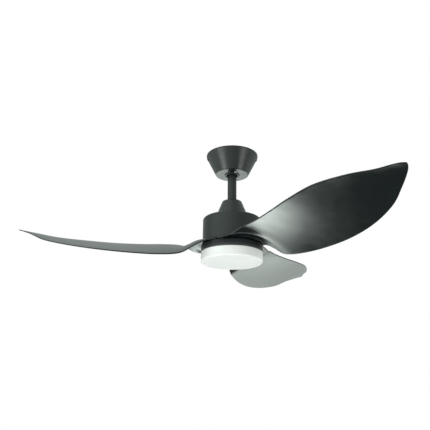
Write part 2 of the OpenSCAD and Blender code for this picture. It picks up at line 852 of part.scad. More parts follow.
module diffuser() {
    wall = 2.2;
    top = pan_low - 0.3;
    low = -diffuser_drop;
    color([0.93, 0.95, 0.94]) {
        rotate_extrude() polygon(concat(
            [[0, low]],
            [for (a = [-90 : 15 : 0]) [light_r - 4 + 4 * cos(a), low + 4 + 4 * sin(a)]],
            [[light_r, top], [spigot_r, top], [spigot_r, top + 7.6], [spigot_r - 2, top + 7.6],
             [spigot_r - 2, top - wall], [light_r - wall, top - wall - 3], [light_r - wall, low + 4],
             [light_r - 4.5, low + wall], [0, low + wall]]
        ));
        for (turn = tab_turns)
            rotate([0, 0, turn - 7]) translate([0, 0, pan_low + 3.8]) rotate_extrude(angle = 14)
                translate([spigot_r - 1, 0]) square([3.8, 2]);
    }
}

hanger_bracket();
canopy();
canopy_screws();
canopy_trim_ring();
trim_ring_screws();
terminal_block();
terminal_screws();
earth_screw();
receiver();
supply_jumper();
socket_liner();
hanger_ball();
ball_cross_pin();
ball_set_screw();
downrod();
motor_lead();
lead_connector();
coupling_cover();
cover_grub_screw();
motor_yoke();
clevis_pin();
cotter_pin();
yoke_set_screws();
motor_housing();
housing_screws();
motor_shaft();
stator_core();
stator_windings();
control_board();
board_capacitors();
board_standoffs();
upper_inner_race();
lower_inner_race();
shaft_circlip();
light_adapter_plate();
shaft_lock_nut();
light_pan();
pan_screws();
led_driver();
light_lead();
led_board();
led_chips();
led_board_screws();
rotor_bell();
rotor_magnets();
blade_carrier();
rotor_bolts();
upper_outer_race();
lower_outer_race();
upper_race_balls();
lower_race_balls();
placed_blade(0);  // blade_1
placed_blade(1);  // blade_2
placed_blade(2);  // blade_3
blade_screws();
diffuser();
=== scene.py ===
"""The looks of a ceiling fan with a light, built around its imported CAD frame. Blender 4.5, metres."""

import json
import math

import bmesh
import bpy
from mathutils import Matrix, Vector

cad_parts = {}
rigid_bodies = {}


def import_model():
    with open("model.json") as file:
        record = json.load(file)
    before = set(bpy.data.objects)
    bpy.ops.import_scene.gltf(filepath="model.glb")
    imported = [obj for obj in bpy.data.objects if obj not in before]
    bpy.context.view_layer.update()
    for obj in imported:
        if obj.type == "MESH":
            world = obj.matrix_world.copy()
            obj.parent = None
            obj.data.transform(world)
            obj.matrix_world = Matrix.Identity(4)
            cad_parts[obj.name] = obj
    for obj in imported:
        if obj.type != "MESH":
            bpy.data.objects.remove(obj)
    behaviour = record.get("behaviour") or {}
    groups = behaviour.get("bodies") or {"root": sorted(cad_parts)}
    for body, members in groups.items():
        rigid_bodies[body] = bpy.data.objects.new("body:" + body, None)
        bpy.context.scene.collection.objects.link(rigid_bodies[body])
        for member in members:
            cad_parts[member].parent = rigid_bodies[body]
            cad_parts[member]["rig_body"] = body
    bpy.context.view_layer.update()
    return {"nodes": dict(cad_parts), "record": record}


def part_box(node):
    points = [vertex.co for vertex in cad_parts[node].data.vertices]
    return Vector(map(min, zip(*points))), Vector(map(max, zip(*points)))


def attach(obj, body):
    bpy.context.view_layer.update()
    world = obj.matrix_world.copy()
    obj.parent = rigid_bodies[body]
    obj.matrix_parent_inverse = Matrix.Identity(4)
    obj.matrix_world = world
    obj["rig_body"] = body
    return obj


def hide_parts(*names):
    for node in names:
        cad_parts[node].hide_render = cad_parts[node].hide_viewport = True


MM = 0.001
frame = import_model()
SLOT_OF = {part["node"]: part["material_slot"] for part in frame["record"]["subparts"]}


# ---------- Sizes: boxes from the frame, then walls, holes and screw places ----------

canopy_low, canopy_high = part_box("canopy")
trim_low, trim_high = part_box("canopy_trim_ring")
rod_low, rod_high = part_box("downrod")
cover_low, cover_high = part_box("coupling_cover")
housing_low, housing_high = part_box("motor_housing")
pan_low, pan_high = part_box("light_pan")
diffuser_low, diffuser_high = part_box("diffuser")

SHEET = 1.8 * MM
CANOPY_WALL = 1.4 * MM
CANOPY_BASE_R = 52 * MM
CANOPY_HOLE_R = 24.6 * MM
TRIM_R = 24.4 * MM
TRIM_HOLE_R = 17.8 * MM
TRIM_SCREW_TURN = -70
TRIM_SCREW_RING = 28.4 * MM
CANOPY_SCREW_Z = -14 * MM
SMALL_HOLE_R = 1.6 * MM
SCREW_HOLE_R = 2.1 * MM
PIN_HOLE_R = 3.3 * MM
ROD_WALL = 2.3 * MM
COVER_NECK_R = 30.3 * MM
CLEVIS_PIN_RISE = 11 * MM
COVER_SCREW_OUT = 48 * MM
COVER_SCREW_RISE = 7 * MM
HOUSING_FLAT_R = 58 * MM
HOUSING_FALL = 3.5 * MM
HOUSING_HOLE_R = 14 * MM
HOUSING_SCREW_RING = 30 * MM
STANDOFF_RING = 44 * MM
PAN_WALL = 1.6 * MM
PAN_HOLE_R = 30 * MM
PAN_SCREW_RING = 40 * MM
DIFFUSER_WALL = 2.2 * MM
SPIGOT_R = 89.5 * MM
POST_RING = 70 * MM
BOARD_RISE = 3.5 * MM
PAN_TURNS = (30, 150, 270)
LUG_IN_R = 90.3 * MM
LUG_BEFORE = 11
LUG_STOP = 8
LUG_AFTER = 8
BLADE_Z = -303.5 * MM


# ---------- Procedural materials ----------

# Scales of the wave textures: the bands stand 6.3 mm apart on the core and 7.5 mm apart on the coils
CORE_BANDS = 1000 / 20
COIL_BANDS = 1000 / 24


class Finish:
    """A node material that is put together from a few kinds of detail, all in object space."""

    def __init__(self, name, roughness=0.4, metallic=0.0, **shader):
        self.material = bpy.data.materials.new(name)
        self.material.use_nodes = True
        self.tree = self.material.node_tree
        self.shader = self.tree.nodes["Principled BSDF"]
        self.shader.inputs["Roughness"].default_value = roughness
        self.shader.inputs["Metallic"].default_value = metallic
        for socket, value in shader.items():
            self.shader.inputs[socket.replace("_", " ")].default_value = value
        self.coords = self.tree.nodes.new("ShaderNodeTexCoord")
        self.height = None

    def join(self, output, socket):
        self.tree.links.new(output, socket)

    def noise(self, scale, detail=3, stretch=(1, 1, 1), rough=0.5):
        mapping = self.tree.nodes.new("ShaderNodeMapping")
        mapping.inputs["Scale"].default_value = stretch
        self.join(self.coords.outputs["Object"], mapping.inputs["Vector"])
        noise = self.tree.nodes.new("ShaderNodeTexNoise")
        noise.inputs["Scale"].default_value = scale
        noise.inputs["Detail"].default_value = detail
        noise.inputs["Roughness"].default_value = rough
        self.join(mapping.outputs["Vector"], noise.inputs["Vector"])
        return noise.outputs["Fac"]

    def waves(self, scale, distortion=0.0):
        """Level bands, one above another."""
        wave = self.tree.nodes.new("ShaderNodeTexWave")
        wave.wave_type = "BANDS"
        wave.bands_direction = "Z"
        wave.inputs["Scale"].default_value = scale
        wave.inputs["Distortion"].default_value = distortion
        self.join(self.coords.outputs["Object"], wave.inputs["Vector"])
        return wave.outputs["Fac"]

    def ramp(self, source, stops):
        ramp = self.tree.nodes.new("ShaderNodeValToRGB")
        elements = ramp.color_ramp.elements
        while len(elements) < len(stops):
            elements.new(0.5)
        for element, (place, colour) in zip(elements, stops):
            element.position = place
            element.color = (*colour, 1)
        self.join(source, ramp.inputs["Fac"])
        return ramp.outputs["Color"]

    def colour(self, source, dark, light):
        """The base colour wanders between two tones."""
        self.join(self.ramp(source, [(0.3, dark), (0.7, light)]), self.shader.inputs["Base Color"])
        return self

    def gloss(self, source, low, high):
        """The roughness wanders between two values."""
        spread = self.tree.nodes.new("ShaderNodeMapRange")
        spread.inputs["From Min"].default_value = 0.3
        spread.inputs["From Max"].default_value = 0.7
        spread.inputs["To Min"].default_value = low
        spread.inputs["To Max"].default_value = high
        self.join(source, spread.inputs["Value"])
        self.join(spread.outputs["Result"], self.shader.inputs["Roughness"])
        return self

    def bump(self, source, depth, strength):
        """A surface relief of that depth in metres, on top of any earlier one."""
        bump = self.tree.nodes.new("ShaderNodeBump")
        bump.inputs["Distance"].default_value = depth
        bump.inputs["Strength"].default_value = strength
        self.join(source, bump.inputs["Height"])
        if self.height is not None:
            self.join(self.height, bump.inputs["Normal"])
        self.height = bump.outputs["Normal"]
        self.join(self.height, self.shader.inputs["Normal"])
        return self


def coated_metal(name, dark, light):
    """Satin powder coat: an even colour with a fine orange peel."""
    finish = Finish(name, IOR=1.5)
    finish.colour(finish.noise(14, detail=4), dark, light)
    finish.gloss(finish.noise(45, detail=3), 0.26, 0.36)
    finish.bump(finish.noise(1500, detail=2), 0.006 * MM, 0.4)
    return finish.material


def pan_coat():
    """The pan's dull coat, painted paler towards the rim to stand for light from the opal cover."""
    finish = Finish("black_pan", IOR=1.25)
    height = finish.tree.nodes.new("ShaderNodeSeparateXYZ")
    finish.join(finish.coords.outputs["Object"], height.inputs["Vector"])
    share = finish.tree.nodes.new("ShaderNodeMapRange")
    share.inputs["From Min"].default_value = pan_low.z
    share.inputs["From Max"].default_value = pan_low.z + 12 * MM
    finish.join(height.outputs["Z"], share.inputs["Value"])
    shades = [(0, (0.078, 0.087, 0.086)), (0.3, (0.042, 0.048, 0.048)), (1, (0.019, 0.022, 0.022))]
    finish.join(finish.ramp(share.outputs["Result"], shades), finish.shader.inputs["Base Color"])
    finish.gloss(finish.noise(45, detail=3), 0.3, 0.4)
    finish.bump(finish.noise(1500, detail=2), 0.006 * MM, 0.4)
    return finish.material


def blade_plastic():
    """Moulded plastic, smooth and satin, with a very fine grain and slow waves of sink."""
    finish = Finish("blade_plastic", IOR=1.5)
    finish.colour(finish.noise(9, detail=4), (0.0055, 0.008, 0.0083), (0.0075, 0.0105, 0.0108))
    finish.gloss(finish.noise(30, detail=3), 0.19, 0.25)
    finish.bump(finish.noise(18, detail=1), 0.05 * MM, 0.35)
    finish.bump(finish.noise(1600, detail=2), 0.008 * MM, 0.4)
    return finish.material


def opal():
    """Satin opal plastic that scatters light under its skin."""
    finish = Finish("opal", IOR=1.49)
    finish.shader.inputs["Subsurface Weight"].default_value = 0.25
    finish.shader.inputs["Subsurface Radius"].default_value = (1, 1, 1)
    finish.shader.inputs["Subsurface Scale"].default_value = 3 * MM
    finish.colour(finish.noise(20, detail=4), (0.775, 0.78, 0.765), (0.805, 0.81, 0.795))
    finish.gloss(finish.noise(60, detail=3), 0.42, 0.52)
    finish.bump(finish.noise(1200, detail=2), 0.01 * MM, 0.3)
    return finish.material


def turned_metal(name, dark, light, low, high):
    """Ground or turned steel, with fine marks that run round the Z axis."""
    finish = Finish(name, metallic=1.0)
    finish.colour(finish.noise(60, detail=5), dark, light)
    finish.gloss(finish.noise(2200, detail=4, stretch=(0.08, 0.08, 1)), low, high)
    finish.bump(finish.noise(2600, detail=3, stretch=(0.05, 0.05, 1)), 0.01 * MM, 0.4)
    return finish.material


def plated_metal(name, dark, light):
    """Zinc plate, slightly cloudy, with a faint grain from the sheet."""
    finish = Finish(name, metallic=1.0)
    finish.colour(finish.noise(35, detail=6, rough=0.65), dark, light)
    finish.gloss(finish.noise(240, detail=4), 0.26, 0.42)
    finish.bump(finish.noise(900, detail=3, stretch=(1, 0.2, 1)), 0.012 * MM, 0.4)
    return finish.material


def cast_metal(name, dark, light, metallic=0.9, grain=650, depth=0.08):
    """Cast or sintered metal with a sandy skin."""
    finish = Finish(name, metallic=metallic)
    finish.colour(finish.noise(90, detail=6, rough=0.7), dark, light)
    finish.gloss(finish.noise(400, detail=3), 0.45, 0.65)
    finish.bump(finish.noise(grain, detail=4), depth * MM, 0.6)
    return finish.material


def laminations():
    """Stacked sheet steel, shown as soft bands round the core's sides."""
    finish = Finish("silicon_steel", metallic=0.85)
    lines = finish.waves(CORE_BANDS)
    finish.colour(lines, (0.16, 0.16, 0.17), (0.36, 0.36, 0.38))
    finish.gloss(finish.noise(300, detail=3), 0.35, 0.55)
    finish.bump(lines, 0.12 * MM, 0.7)
    return finish.material


def copper_coils():
    """Enamelled wire wound in layers, shown as soft ridges."""
    finish = Finish("copper_wire", metallic=0.9, Coat_Weight=0.4)
    turns = finish.waves(COIL_BANDS, distortion=0.25)
    finish.colour(turns, (0.3, 0.1, 0.035), (0.78, 0.34, 0.13))
    finish.gloss(finish.noise(300, detail=3), 0.22, 0.4)
    finish.bump(turns, 0.35 * MM, 0.9)
    return finish.material


def moulded(name, dark, light, low=0.42, high=0.55, grain=0.03):
    """Plain moulded plastic with a spark-eroded grain."""
    finish = Finish(name, IOR=1.48)
    finish.colour(finish.noise(40, detail=4), dark, light)
    finish.gloss(finish.noise(160, detail=3), low, high)
    finish.bump(finish.noise(1100, detail=3), grain * MM, 0.5)
    return finish.material


def circuit_board(name, mask, trace):
    """Solder mask over copper tracks, which show as faint raised lines."""
    finish = Finish(name, IOR=1.5, Coat_Weight=0.3)
    tracks = finish.tree.nodes.new("ShaderNodeTexBrick")
    tracks.inputs["Scale"].default_value = 90
    tracks.inputs["Mortar Size"].default_value = 0.06
    tracks.inputs["Color1"].default_value = (*mask, 1)
    tracks.inputs["Color2"].default_value = (*[c * 0.9 for c in mask], 1)
    tracks.inputs["Mortar"].default_value = (*trace, 1)
    finish.join(finish.coords.outputs["Object"], tracks.inputs["Vector"])
    finish.join(tracks.outputs["Color"], finish.shader.inputs["Base Color"])
    finish.gloss(finish.noise(220, detail=3), 0.28, 0.42)
    finish.bump(tracks.outputs["Fac"], 0.04 * MM, 0.8)
    return finish.material


def phosphor():
    """The yellow face of an LED chip."""
    finish = Finish("led_yellow", IOR=1.45)
    finish.colour(finish.noise(900, detail=4), (0.72, 0.6, 0.16), (0.86, 0.76, 0.3))
    finish.gloss(finish.noise(500), 0.35, 0.5)
    finish.bump(finish.noise(1500), 0.02 * MM, 0.5)
    return finish.material


FINISHES = {
    "black_metal": coated_metal("black_metal", (0.0125, 0.0165, 0.0155), (0.0165, 0.021, 0.0198)),
    "black_pan": pan_coat(),
    "blade_plastic": blade_plastic(),
    "opal": opal(),
    "black_screws": plated_metal("black_screws", (0.03, 0.03, 0.03), (0.07, 0.07, 0.07)),
    "bright_screws": cast_metal("bright_screws", (0.62, 0.62, 0.6), (0.74, 0.74, 0.72), 0.35, 500, 0.02),
    "zinc_steel": plated_metal("zinc_steel", (0.5, 0.5, 0.49), (0.64, 0.64, 0.62)),
    "cast_grey": cast_metal("cast_grey", (0.2, 0.2, 0.2), (0.3, 0.3, 0.3)),
    "bearing_steel": turned_metal("bearing_steel", (0.58, 0.58, 0.58), (0.7, 0.7, 0.7), 0.1, 0.22),
    "rotor_aluminium": turned_metal("rotor_aluminium", (0.62, 0.62, 0.63), (0.72, 0.72, 0.73), 0.25, 0.42),
    "magnet_grey": cast_metal("magnet_grey", (0.07, 0.07, 0.08), (0.12, 0.12, 0.13), 0.4, 900, 0.04),
    "silicon_steel": laminations(),
    "copper_wire": copper_coils(),
    "terminal_brass": turned_metal("terminal_brass", (0.6, 0.42, 0.16), (0.74, 0.55, 0.24), 0.2, 0.36),
    "circuit_board": circuit_board("circuit_board", (0.012, 0.09, 0.035), (0.04, 0.2, 0.08)),
    "white_board": circuit_board("white_board", (0.8, 0.81, 0.8), (0.7, 0.7, 0.68)),
    "led_yellow": phosphor(),
    "capacitor_sleeve": moulded(
        "capacitor_sleeve", (0.012, 0.016, 0.06), (0.02, 0.026, 0.09), 0.25, 0.35, 0.01,
    ),
    "black_plastic": moulded("black_plastic", (0.014, 0.014, 0.014), (0.022, 0.022, 0.022)),
    "nylon": moulded("nylon", (0.66, 0.63, 0.55), (0.76, 0.73, 0.66), 0.4, 0.5, 0.015),
    "lead_jacket": moulded("lead_jacket", (0.012, 0.012, 0.012), (0.02, 0.02, 0.02), 0.5, 0.65, 0.02),
}


def finish_frame():
    """Every CAD node takes the finish of its material slot."""
    for name, node in frame["nodes"].items():
        node.data.materials.clear()
        node.data.materials.append(FINISHES[SLOT_OF[name]])


# ---------- Meshes ----------

# A point this far beyond each end of a fillet keeps the flat beside it flat
FLAT_HOLD = 0.15 * MM
FILLET_STEPS = 7
TURN_STEPS = 192
HOLE_STEPS = 40
LUG_STEPS = 10
SHARP_FROM = math.radians(40)


def add_piece(name, mesh, node):
    """Puts a finished mesh in the scene in place of a CAD node."""
    piece = bpy.data.objects.new(name, mesh)
    bpy.context.scene.collection.objects.link(piece)
    mesh.materials.append(FINISHES[SLOT_OF[node]])
    mesh.shade_smooth()
    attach(piece, frame["nodes"][node]["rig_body"])
    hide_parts(node)
    return piece


def rounded(corners):
    """A closed outline of (radius, height, fillet) corners as points, each corner rounded by its fillet."""
    outline = []
    count = len(corners)
    for i, (r, z, fillet) in enumerate(corners):
        here = Vector((r, z))
        before = Vector(corners[i - 1][:2]) - here
        after = Vector(corners[(i + 1) % count][:2]) - here
        if fillet <= 0:
            outline.append(here)
            continue
        before.normalize()
        after.normalize()
        half = before.angle(after) / 2
        back = fillet / math.tan(half)
        centre = here + (before + after).normalized() * fillet / math.sin(half)
        first = here + before * back - centre
        turn = first.angle_signed(here + after * back - centre)
        outline.append(here + before * (back + FLAT_HOLD))
        for k in range(FILLET_STEPS + 1):
            outline.append(centre + Matrix.Rotation(-turn * k / FILLET_STEPS, 2) @ first)
        outline.append(here + after * (back + FLAT_HOLD))
    return outline


def revolved(name, node, corners):
    """A solid of revolution about the Z axis from a closed outline."""
    outline = rounded(corners)
    mesh = bpy.data.meshes.new(name)
    shape = bmesh.new()
    rings = []
    for point in outline:
        if point.x < 1e-6:
            rings.append([shape.verts.new((0, 0, point.y))])
            continue
        ring = []
        for k in range(TURN_STEPS):
            angle = 2 * math.pi * k / TURN_STEPS
            ring.append(shape.verts.new((point.x * math.cos(angle), point.x * math.sin(angle), point.y)))
        rings.append(ring)
    for ring, following in zip(rings, rings[1:] + rings[:1]):
        if len(ring) == 1 and len(following) == 1:
            continue
        for k in range(TURN_STEPS):
            corners_of_face = [
                ring[k % len(ring)], ring[(k + 1) % len(ring)],
                following[(k + 1) % len(following)], following[k % len(following)],
            ]
            shape.faces.new(dict.fromkeys(corners_of_face))
    bmesh.ops.recalc_face_normals(shape, faces=shape.faces)
    shape.to_mesh(mesh)
    shape.free()
    return add_piece(name, mesh, node)


def drill(piece, holes):
    """Cuts round holes, each (place, direction, radius, length), centred on its place."""
    shape = bmesh.new()
    for place, direction, radius, length in holes:
        turn = Vector(direction).to_track_quat("Z", "Y").to_matrix().to_4x4()
        bmesh.ops.create_cone(
            shape, cap_ends=True, segments=HOLE_STEPS, radius1=radius, radius2=radius, depth=length,
            matrix=Matrix.Translation(place) @ turn,
        )
    cutter_mesh = bpy.data.meshes.new("cutter")
    shape.to_mesh(cutter_mesh)
    shape.free()
    cutter = bpy.data.objects.new("cutter", cutter_mesh)
    bpy.context.scene.collection.objects.link(cutter)
    cut = piece.modifiers.new("holes", "BOOLEAN")
    cut.operation = "DIFFERENCE"
    cut.solver = "EXACT"
    cut.object = cutter
    bpy.context.view_layer.update()
    result = bpy.data.meshes.new_from_object(piece.evaluated_get(bpy.context.evaluated_depsgraph_get()))
    piece.modifiers.clear()
    piece.data = result
    bpy.data.objects.remove(cutter)
    result.shade_smooth()
    result.set_sharp_from_angle(angle=SHARP_FROM)


def ring_places(ring, turns, z):
    """The places at those turns in degrees on a level ring."""
    return [(ring * math.cos(math.radians(t)), ring * math.sin(math.radians(t)), z) for t in turns]


# ---------- Canopy, rod, cover and housing ----------

def make_canopy():
    """A thin cone with a short upright rim and a rounded lower edge."""
    rim_r = canopy_high.x
    top, low = canopy_high.z, canopy_low.z
    depth = top - low
    slope = (rim_r - CANOPY_BASE_R) / (depth - 4 * MM)
    wall = CANOPY_WALL
    piece = revolved("canopy_shell", "canopy", [
        (rim_r - wall, top, 0.4 * MM),
        (rim_r, top, 0.5 * MM),
        (rim_r, top - 4 * MM, 3 * MM),
        (CANOPY_BASE_R + 0.4 * MM, low, 3.6 * MM),
        (CANOPY_HOLE_R, low, 0.4 * MM),
        (CANOPY_HOLE_R, low + wall, 0.4 * MM),
        (CANOPY_BASE_R - 0.5 * MM, low + wall, 2.2 * MM),
        (rim_r - wall, top - 4.4 * MM, 2 * MM),
    ])
    holes = [(p, (0, 0, 1), SMALL_HOLE_R, 8 * MM) for p in
             ring_places(TRIM_SCREW_RING, (TRIM_SCREW_TURN, TRIM_SCREW_TURN + 180), low)]
    lean = math.atan(slope)
    screw_r = rim_r - slope * (top - 4 * MM - CANOPY_SCREW_Z) - wall
    for side in (-1, 1):
        out = (side * math.cos(lean), 0, -math.sin(lean))
        holes.append(((side * screw_r, 0, CANOPY_SCREW_Z), out, SCREW_HOLE_R, 8 * MM))
    drill(piece, holes)


def make_trim_ring():
    """The small ring round the rod: it comes down through the canopy and hangs on its flange."""
    low, high = trim_low.z, trim_high.z
    step = canopy_low.z + CANOPY_WALL
    piece = revolved("trim_ring", "canopy_trim_ring", [
        (TRIM_HOLE_R, low, 1.2 * MM),
        (TRIM_R, low, 2 * MM),
        (TRIM_R, step, 0.2 * MM),
        (trim_high.x, step, 0.2 * MM),
        (trim_high.x, high, 0.2 * MM),
        (TRIM_HOLE_R, high, 0.3 * MM),
    ])
    turns = (TRIM_SCREW_TURN, TRIM_SCREW_TURN + 180)
    drill(piece, [(p, (0, 0, 1), SMALL_HOLE_R, 10 * MM) for p in ring_places(TRIM_SCREW_RING, turns, high)])


def make_rod():
    """The plain tube of the downrod, drilled across for the two pins."""
    out_r = rod_high.x
    piece = revolved("rod_tube", "downrod", [
        (out_r - ROD_WALL, rod_low.z, 0.3 * MM),
        (out_r, rod_low.z, 0.5 * MM),
        (out_r, rod_high.z, 0.5 * MM),
        (out_r - ROD_WALL, rod_high.z, 0.3 * MM),
    ])
    pins = [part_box("ball_cross_pin"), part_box("clevis_pin")]
    places = [(0, 0, (pins[0][0].z + pins[0][1].z) / 2), (0, 0, rod_low.z + CLEVIS_PIN_RISE)]
    drill(piece, [(place, (1, 0, 0), PIN_HOLE_R, 3 * out_r) for place in places])


def make_cover():
    """The bell-shaped cover of the coupling, flared down on to the housing."""
    top, foot = cover_high.z, cover_low.z
    hole_r = rod_high.x + 0.4 * MM
    foot_r = cover_high.x
    piece = revolved("coupling_bell", "coupling_cover", [
        (hole_r, top - SHEET, 0.3 * MM),
        (hole_r, top, 0.6 * MM),
        (COVER_NECK_R, top, 6.5 * MM),
        (foot_r, foot, 0.6 * MM),
        (foot_r - SHEET, foot, 0.3 * MM),
        (COVER_NECK_R - SHEET, top - SHEET, 5 * MM),
    ])
    drill(piece, [((0, COVER_SCREW_OUT, foot + COVER_SCREW_RISE), (0, 1, 0), SMALL_HOLE_R, 12 * MM)])


def make_housing():
    """The drum of the motor, a deep-drawn can whose top falls gently to a rounded shoulder."""
    out_r = housing_high.x
    top, end = housing_high.z, housing_low.z
    shoulder = top - HOUSING_FALL
    piece = revolved("motor_can", "motor_housing", [
        (HOUSING_HOLE_R, top - SHEET, 0.3 * MM),
        (HOUSING_HOLE_R, top, 0.5 * MM),
        (HOUSING_FLAT_R, top, 8 * MM),
        (out_r, shoulder, 5.4 * MM),
        (out_r, end, 0.7 * MM),
        (out_r - SHEET, end, 0.5 * MM),
        (out_r - SHEET, shoulder - SHEET, 3.6 * MM),
        (HOUSING_FLAT_R, top - SHEET, 8 * MM),
    ])
    screws = ring_places(HOUSING_SCREW_RING, (45, 135, 225, 315), top)
    standoffs = ring_places(STANDOFF_RING, (0, 90, 180, 270), top)
    holes = [(p, (0, 0, 1), SCREW_HOLE_R, 8 * MM) for p in screws]
    holes += [(p, (0, 0, 1), SMALL_HOLE_R, 8 * MM) for p in standoffs]
    drill(piece, holes)


# ---------- Light ----------

def make_diffuser():
    """A shallow opal drum, slightly crowned, with a spigot that turns into the pan."""
    out_r = diffuser_high.x
    low = diffuser_low.z
    top = pan_low.z - 0.3 * MM
    wall = DIFFUSER_WALL
    crown = 0.6 * MM
    revolved("opal_cover", "diffuser", [
        (0, low, 0),
        (out_r * 0.6, low, 60 * MM),
        (out_r - 3 * MM, low + crown, 0.5 * MM),
        (out_r, low + crown + 3.5 * MM, 3 * MM),
        (out_r, top, 0.6 * MM),
        (SPIGOT_R, top, 0.2 * MM),
        (SPIGOT_R, diffuser_high.z, 0.4 * MM),
        (SPIGOT_R - 2 * MM, diffuser_high.z, 0.4 * MM),
        (SPIGOT_R - 2 * MM, top - wall, 0.4 * MM),
        (out_r - wall, top - wall - 3 * MM, 1 * MM),
        (out_r - wall, low + 4 * MM, 2 * MM),
        (out_r - 4.5 * MM, low + wall, 1 * MM),
        (0, low + wall, 0),
    ])


def make_pan():
    """The light's shallow metal pan, with lugs for the diffuser and posts for the board."""
    out_r = pan_high.x
    top, low = pan_high.z, pan_low.z
    wall = PAN_WALL
    lug_out = out_r - wall + 0.4 * MM
    piece = revolved("light_pan_shell", "light_pan", [
        (PAN_HOLE_R, top - 2 * MM, 0.3 * MM),
        (PAN_HOLE_R, top, 0.5 * MM),
        (out_r, top, 1.6 * MM),
        (out_r, low, 1.5 * MM),
        (out_r - wall, low, 0.5 * MM),
        (out_r - wall, top - 2 * MM, 1.2 * MM),
    ])
    screws = ring_places(PAN_SCREW_RING, (0, 120, 240), top)
    drill(piece, [(p, (0, 0, 1), SCREW_HOLE_R, 8 * MM) for p in screws])
    shape = bmesh.new()
    shape.from_mesh(piece.data)
    for place in ring_places(POST_RING, PAN_TURNS, 0):
        add_post(shape, place, low + BOARD_RISE + 1.5 * MM, top - 6 * MM, top - 1 * MM)
    for turn in PAN_TURNS:
        add_lug(shape, turn - LUG_BEFORE, turn + LUG_AFTER, low + 1.5 * MM, low + 3.5 * MM, lug_out)
        add_lug(shape, turn - LUG_BEFORE, turn - LUG_STOP, low + 2.5 * MM, low + 6 * MM, lug_out)
    bmesh.ops.recalc_face_normals(shape, faces=shape.faces)
    shape.to_mesh(piece.data)
    shape.free()
    piece.data.set_sharp_from_angle(angle=SHARP_FROM)


def add_post(shape, place, low, hole_top, top):
    """An upright post with a blind screw hole from below."""
    rings = []
    for r, z in ((1.35, hole_top), (1.35, low), (3.8, low), (4, low + 0.2 * MM), (4, top)):
        ring = []
        for k in range(HOLE_STEPS):
            angle = 2 * math.pi * k / HOLE_STEPS
            x = place[0] + r * MM * math.cos(angle)
            y = place[1] + r * MM * math.sin(angle)
            ring.append(shape.verts.new((x, y, z)))
        rings.append(ring)
    for ring, following in zip(rings, rings[1:]):
        for k in range(HOLE_STEPS):
            shape.faces.new((ring[k], ring[k - 1], following[k - 1], following[k]))
    shape.faces.new(rings[0])
    shape.faces.new(rings[-1])


def add_lug(shape, first, last, low, high, out_r):
    """A curved block along the inside of the pan's wall, from one turn to another."""
    loops = []
    for k in range(LUG_STEPS + 1):
        angle = math.radians(first + (last - first) * k / LUG_STEPS)
        loops.append([shape.verts.new((r * math.cos(angle), r * math.sin(angle), z)) for r, z in
                      ((LUG_IN_R, low), (out_r, low), (out_r, high), (LUG_IN_R, high))])
    for loop, following in zip(loops, loops[1:]):
        for k in range(4):
            shape.faces.new((loop[k], loop[k - 1], following[k - 1], following[k]))
    shape.faces.new(loops[0])
    shape.faces.new(loops[-1])


# ---------- Blades ----------

# Lengths here are in mm and turns in degrees, but ROOT_HALF is in radians
ROOT_R = 93.3
ROOT_INNER_R = 64
ROOT_HALF = math.radians(59.3)
ROOT_THICK = 5.0
TIP_THICK = 2.2
EDGE_ROUND = 1.1
BLADE_TURNS = (-61.5, 58.5, 178.5)
SCREW_TURNS = (-38, 0, 38)
SCREW_RING = 80
BLADE_HOLE_R = 2.6
BLADE_HEAD_R = 5

# Each row in mm: leading x, y, z, trailing x, y, z, sweep of the middle, rise of the middle,
# and the power by which the section falls from the leading to the trailing edge
ROWS = [
    (ROOT_R * math.cos(ROOT_HALF), -ROOT_R * math.sin(ROOT_HALF), 0,
     ROOT_R * math.cos(ROOT_HALF), ROOT_R * math.sin(ROOT_HALF), 0,
     ROOT_R * (1 - math.cos(ROOT_HALF)), 0, 2.5),
    (80, -80, -5, 78, 77, -6, 32, 10, 2.6),
    (115, -73, -4, 113, 80, -24, 20, 8, 1.5),
    (155, -57, 9.5, 152, 91, -49, 12, -0.8, 1.6),
    (210, -50, 13, 212, 106, -57.5, 6, 1.2, 1.25),
    (285, -55, 15, 290, 122, -58, 3, 2.4, 1.1),
    (375, -61, 20, 380, 132, -52, 0, 4, 1),
    (465, -56, 26, 468, 128, -39, 0, 4, 1),
    (545, -29, 27, 548, 110, -19, 0, 4, 1),
    (598, 6, 28, 600, 88, 6, 0, 2, 1),
    (631, 23, 30, 634, 68, 21, 0, 1, 1),
    (647, 34, 31, 649, 55, 28, 0, 0, 1),
    (654, 44, 31, 654, 46, 31, 0, 0, 1),
]
ROW_STEPS = 10
CHORD_STEPS = 44
EDGE_STEPS = 5


def smooth(a, b, c, d, t):
    """Catmull-Rom value between b and c."""
    square = 2 * a - 5 * b + 4 * c - d
    cube = 3 * b - a - 3 * c + d
    return 0.5 * (2 * b + (c - a) * t + square * t ** 2 + cube * t ** 3)


def row_at(s):
    """The row at s, which counts rows from the root and need not be whole."""
    last = len(ROWS) - 1
    i = min(int(s), last - 1)
    near = (ROWS[max(i - 1, 0)], ROWS[i], ROWS[i + 1], ROWS[min(i + 2, last)])
    return [smooth(*values, s - i) for values in zip(*near)]


def row_point(row, v):
    """The middle surface's point at v, from 0 at the leading edge to 1 at the trailing edge."""
    w = 2 * v - 1
    bow = (math.sqrt(1 - (w * math.sin(ROOT_HALF)) ** 2) - math.cos(ROOT_HALF)) / (1 - math.cos(ROOT_HALF))
    return Vector((
        row[0] + (row[3] - row[0]) * v + row[6] * bow,
        row[1] + (row[4] - row[1]) * v,
        row[2] + (row[5] - row[2]) * v ** row[8] + row[7] * (1 - w * w),
    ))


